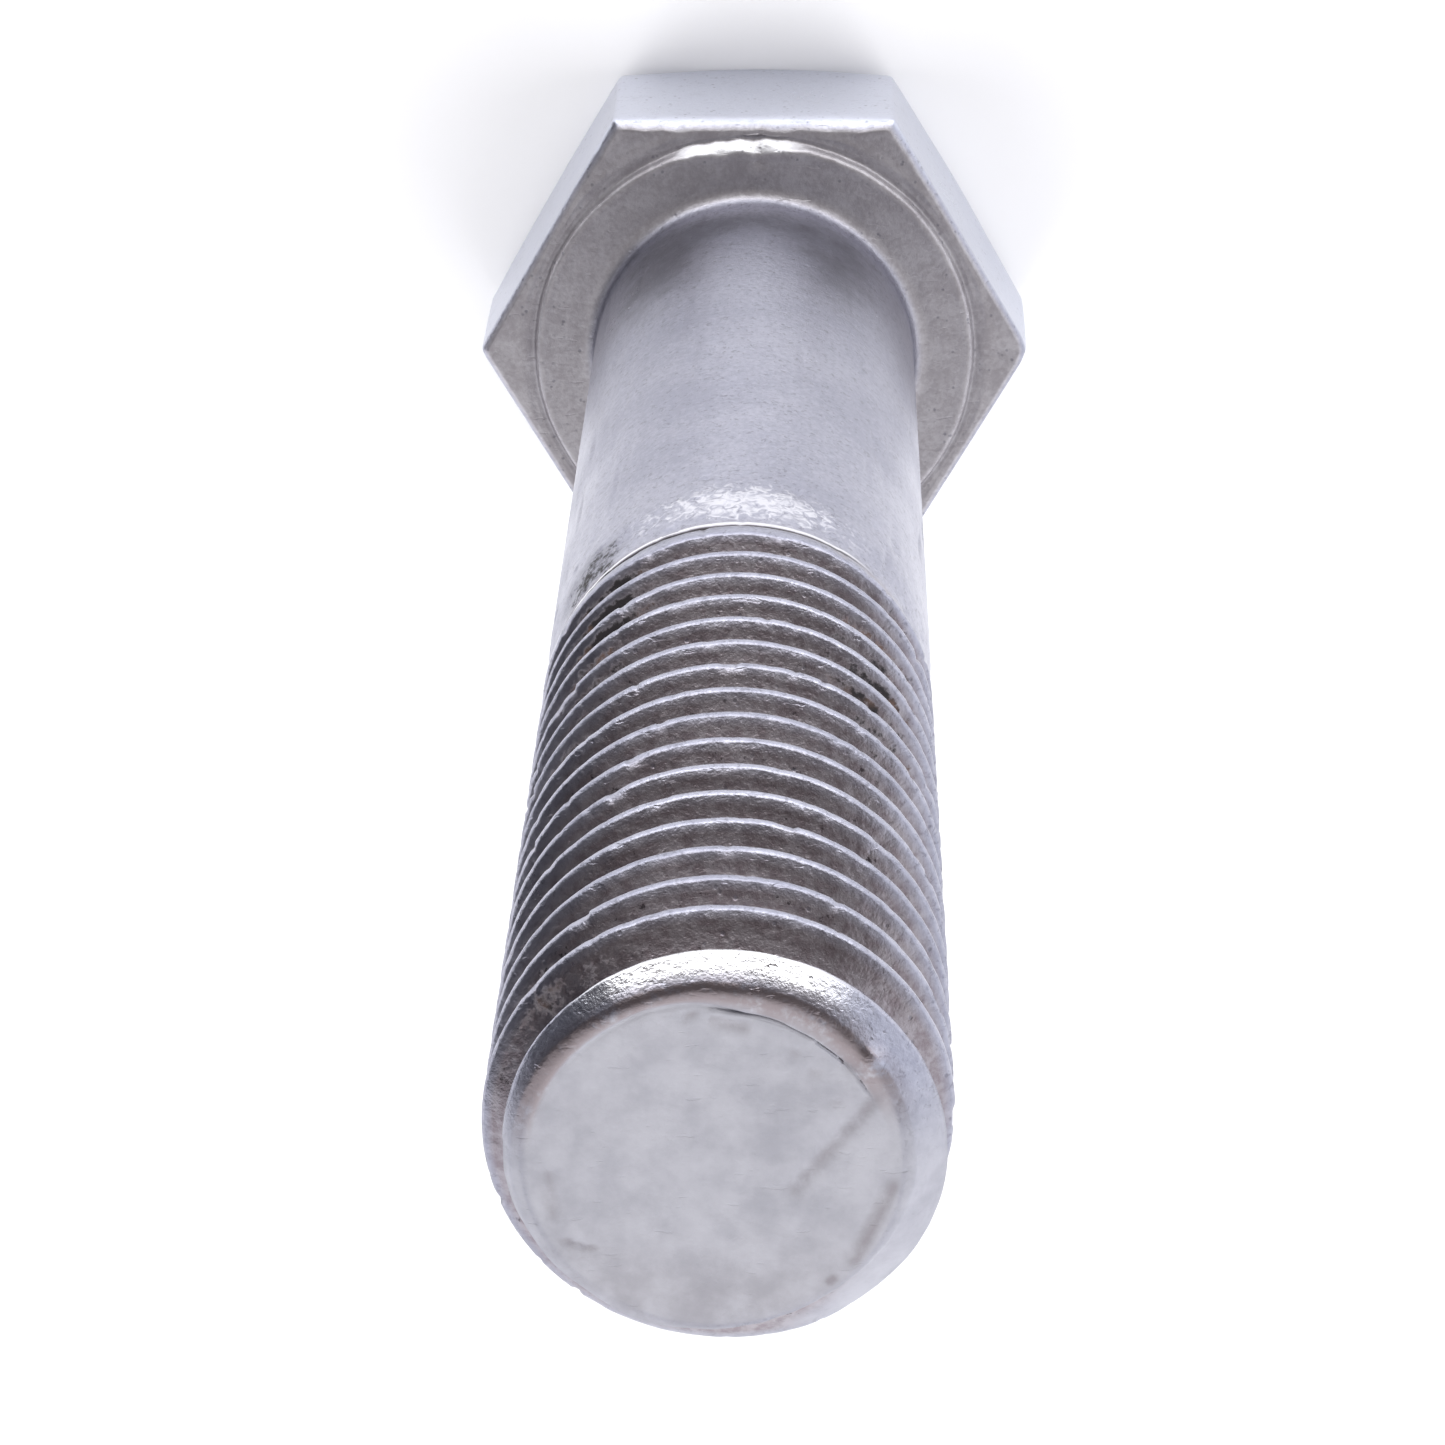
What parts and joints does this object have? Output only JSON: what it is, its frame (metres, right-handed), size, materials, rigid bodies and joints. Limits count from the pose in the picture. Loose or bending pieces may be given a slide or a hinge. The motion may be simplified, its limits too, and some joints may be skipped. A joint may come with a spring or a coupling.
{
  "type": "hexagon head bolt",
  "caption": "Hexagon head bolt with a washer face, a plain shank and a coarse metric right-hand thread that ends in a chamfered tip.",
  "frame": {"origin": "centre of the bearing face under the head, where the washer face meets the clamped surface", "axes": "+Z along the bolt's axis from the head to the threaded tip; two corners of the hexagon lie on X and two of its flats are square to Y"},
  "size_m": [0.0312, 0.027, 0.1015],
  "materials": {
    "stainless_steel": "satin, as forged and rolled, lightly soiled in the thread"
  },
  "bodies": {
    "root": {"hex_bolt": "stainless_steel"}
  },
  "joints": []
}
